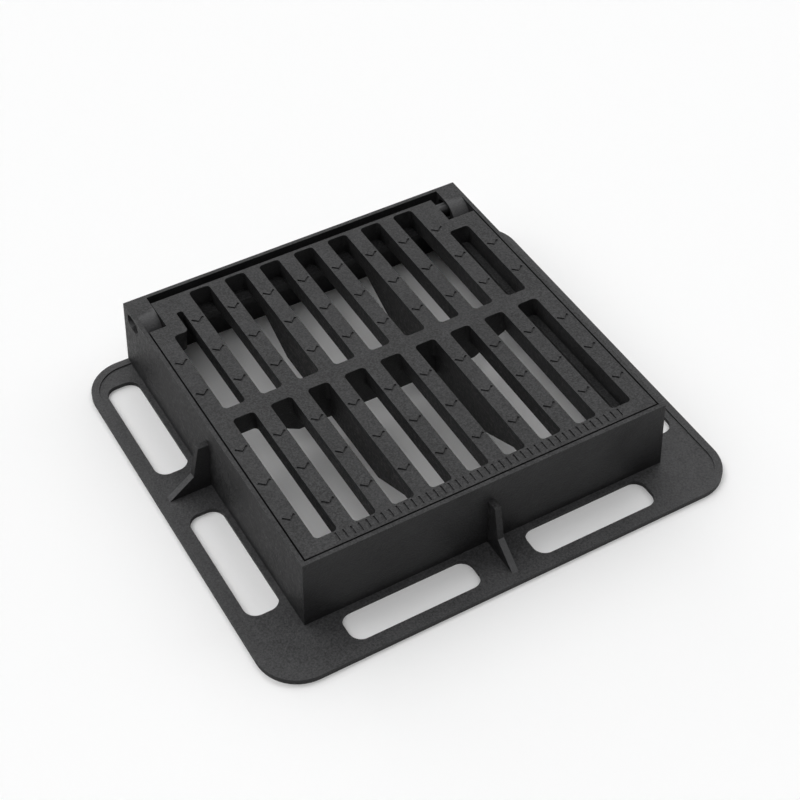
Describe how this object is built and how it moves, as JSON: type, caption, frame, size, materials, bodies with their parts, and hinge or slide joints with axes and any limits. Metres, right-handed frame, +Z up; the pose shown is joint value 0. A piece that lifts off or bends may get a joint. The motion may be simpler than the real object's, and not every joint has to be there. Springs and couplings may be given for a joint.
{
  "type": "gully grate",
  "caption": "Square cast-iron gully grate hinged at the back of a deep frame with a slotted bolting flange.",
  "frame": {"origin": "on the ground under the middle of the whole casting, at the flange's underside", "axes": "+X to the right along the front, +Y towards the hinge side, +Z up"},
  "size_m": [0.598, 0.5326, 0.1],
  "materials": {
    "frame": "matt black coated casting",
    "grate": "matt black coated casting"
  },
  "bodies": {
    "frame": {"frame": "frame"},
    "grate": {"grate": "grate"}
  },
  "joints": [
    {"name": "grate_hinge", "type": "hinge", "parent": "frame", "child": "grate", "pos_m": [0, 0.23667, 0.086], "axis": [-1, 0, 0], "range_deg": [0, 100]}
  ]
}
